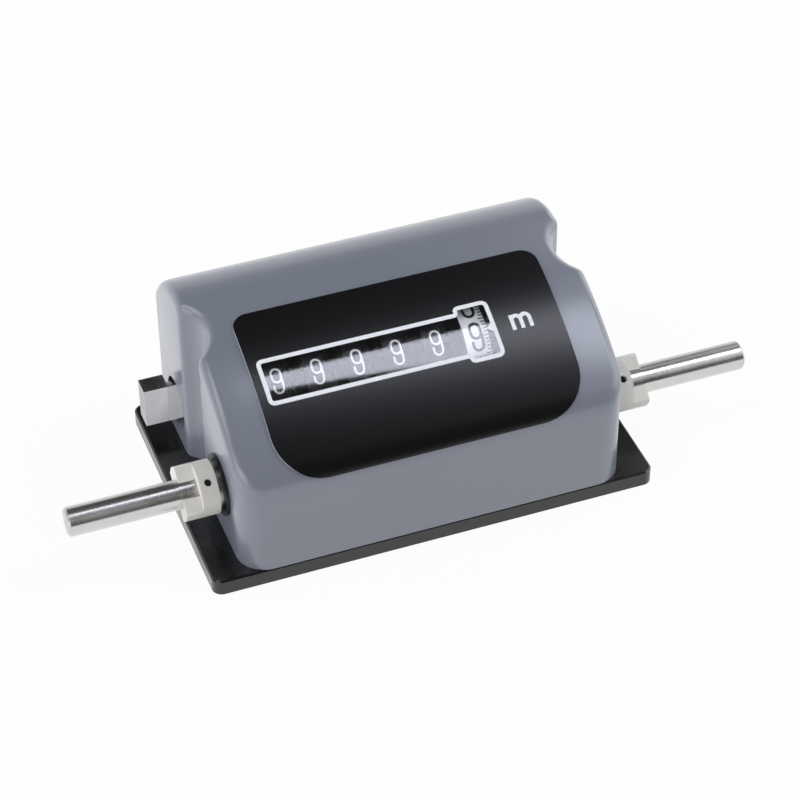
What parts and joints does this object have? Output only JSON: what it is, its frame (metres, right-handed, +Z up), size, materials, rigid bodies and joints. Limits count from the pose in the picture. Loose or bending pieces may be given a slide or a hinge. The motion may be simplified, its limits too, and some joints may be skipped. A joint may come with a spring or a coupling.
{
  "type": "mechanical counter",
  "caption": "Mechanical length counter in a crowned housing on a base plate, with a through drive shaft, coupling dogs, number wheels and a side reset knob.",
  "frame": {"origin": "middle of the underside of the base plate", "axes": "+X along the drive shaft to the right side, -Y to the sloping front, +Z up"},
  "size_m": [0.1684, 0.067, 0.05],
  "materials": {
    "black_lacquer": "glossy black lacquer on a sheet steel plate",
    "grey_paint": "satin grey paint on a thin casting",
    "black_film": "fine textured clear sheet printed black from behind, with a clear window",
    "zinc_steel": "zinc plated steel",
    "ground_steel": "ground bright steel",
    "white_nylon": "slightly translucent natural white plastic",
    "spring_steel": "dark spring steel",
    "black_bush": "black bearing plastic",
    "brass_gear": "machined brass",
    "white_wheel": "white moulded plastic with black print",
    "black_wheel": "black moulded plastic with white print",
    "acetal_pinion": "natural plastic",
    "nickel_knob": "bright nickel plate"
  },
  "bodies": {
    "case": {"base_plate": "black_lacquer", "housing": "grey_paint", "front_panel": "black_film", "housing_screws": "zinc_steel", "counter_frame": "zinc_steel", "frame_screws": "zinc_steel", "bush_left": "black_bush", "bush_right": "black_bush", "pinion_axle": "ground_steel", "pinion_spacer_1": "zinc_steel", "pinion_spacer_2": "zinc_steel", "pinion_spacer_3": "zinc_steel", "pinion_spacer_4": "zinc_steel", "pinion_spacer_5": "zinc_steel", "pinion_spacer_6": "zinc_steel", "idler_stud": "ground_steel"},
    "drive": {"drive_shaft": "ground_steel", "dog_left": "white_nylon", "dog_right": "white_nylon", "dog_pin_left": "spring_steel", "dog_pin_right": "spring_steel", "thrust_washer_left": "zinc_steel", "thrust_washer_right": "zinc_steel", "shaft_clip_left": "spring_steel", "shaft_clip_right": "spring_steel", "drive_pinion": "brass_gear", "drive_pinion_pin": "spring_steel"},
    "unit": {"unit_wheel": "white_wheel"},
    "reset": {"reset_knob": "nickel_knob", "knob_set_screw": "spring_steel", "reset_spindle": "ground_steel", "spindle_gear": "brass_gear"},
    "idler": {"idler_gear": "brass_gear"},
    "axle": {"wheel_axle": "ground_steel", "axle_gear": "brass_gear", "axle_clip": "spring_steel"},
    "digit_1": {"number_wheel_1": "black_wheel"},
    "transfer_1": {"transfer_pinion_1": "acetal_pinion"},
    "digit_2": {"number_wheel_2": "black_wheel"},
    "transfer_2": {"transfer_pinion_2": "acetal_pinion"},
    "digit_3": {"number_wheel_3": "black_wheel"},
    "transfer_3": {"transfer_pinion_3": "acetal_pinion"},
    "digit_4": {"number_wheel_4": "black_wheel"},
    "transfer_4": {"transfer_pinion_4": "acetal_pinion"},
    "digit_5": {"number_wheel_5": "black_wheel"},
    "transfer_5": {"transfer_pinion_5": "acetal_pinion"}
  },
  "joints": [
    {"name": "drive_spin", "type": "hinge", "parent": "case", "child": "drive", "pos_m": [0, -0.017, 0.0185], "axis": [1, 0, 0], "continuous": true},
    {"name": "unit_spin", "type": "hinge", "parent": "case", "child": "unit", "pos_m": [0.0174, -0.00356, 0.02978], "axis": [1, 0, 0], "continuous": true},
    {"name": "digit_5_spin", "type": "hinge", "parent": "case", "child": "digit_5", "pos_m": [0.0077, -0.00356, 0.02978], "axis": [1, 0, 0], "continuous": true},
    {"name": "transfer_5_spin", "type": "hinge", "parent": "case", "child": "transfer_5", "pos_m": [0.0117, 0.01212, 0.02978], "axis": [1, 0, 0], "continuous": true},
    {"name": "digit_4_spin", "type": "hinge", "parent": "case", "child": "digit_4", "pos_m": [-0.002, -0.00356, 0.02978], "axis": [1, 0, 0], "continuous": true},
    {"name": "transfer_4_spin", "type": "hinge", "parent": "case", "child": "transfer_4", "pos_m": [0.002, 0.01212, 0.02978], "axis": [1, 0, 0], "continuous": true},
    {"name": "digit_3_spin", "type": "hinge", "parent": "case", "child": "digit_3", "pos_m": [-0.0117, -0.00356, 0.02978], "axis": [1, 0, 0], "continuous": true},
    {"name": "transfer_3_spin", "type": "hinge", "parent": "case", "child": "transfer_3", "pos_m": [-0.0077, 0.01212, 0.02978], "axis": [1, 0, 0], "continuous": true},
    {"name": "digit_2_spin", "type": "hinge", "parent": "case", "child": "digit_2", "pos_m": [-0.0214, -0.00356, 0.02978], "axis": [1, 0, 0], "continuous": true},
    {"name": "transfer_2_spin", "type": "hinge", "parent": "case", "child": "transfer_2", "pos_m": [-0.0174, 0.01212, 0.02978], "axis": [1, 0, 0], "continuous": true},
    {"name": "digit_1_spin", "type": "hinge", "parent": "case", "child": "digit_1", "pos_m": [-0.0311, -0.00356, 0.02978], "axis": [1, 0, 0], "continuous": true},
    {"name": "transfer_1_spin", "type": "hinge", "parent": "case", "child": "transfer_1", "pos_m": [-0.0271, 0.01212, 0.02978], "axis": [1, 0, 0], "continuous": true},
    {"name": "reset_turn", "type": "hinge", "parent": "case", "child": "reset", "pos_m": [-0.05, 0.0191, 0.0144], "axis": [-1, 0, 0], "range_deg": [0, 360]},
    {"name": "idler_spin", "type": "hinge", "parent": "case", "child": "idler", "pos_m": [-0.039, 0.00384, 0.0163], "axis": [-1, 0, 0], "range_deg": [-343, 0.5]},
    {"name": "axle_spin", "type": "hinge", "parent": "case", "child": "axle", "pos_m": [-0.039, -0.00356, 0.02978], "axis": [-1, 0, 0], "range_deg": [0, 360]}
  ],
  "couplings": [
    {"joint": "unit_spin", "follows": "drive_spin", "ratio": -0.5},
    {"joint": "digit_5_spin", "follows": "drive_spin", "ratio": -0.05},
    {"joint": "transfer_5_spin", "follows": "drive_spin", "ratio": 0.125},
    {"joint": "digit_4_spin", "follows": "drive_spin", "ratio": -0.005},
    {"joint": "transfer_4_spin", "follows": "drive_spin", "ratio": 0.0125},
    {"joint": "digit_3_spin", "follows": "drive_spin", "ratio": -0.0005},
    {"joint": "transfer_3_spin", "follows": "drive_spin", "ratio": 0.00125},
    {"joint": "digit_2_spin", "follows": "drive_spin", "ratio": -0.00005},
    {"joint": "transfer_2_spin", "follows": "drive_spin", "ratio": 0.000125},
    {"joint": "digit_1_spin", "follows": "drive_spin", "ratio": -0.000005},
    {"joint": "transfer_1_spin", "follows": "drive_spin", "ratio": 0.0000125},
    {"joint": "idler_spin", "follows": "reset_turn", "ratio": -0.95238},
    {"joint": "axle_spin", "follows": "reset_turn", "ratio": 1}
  ]
}
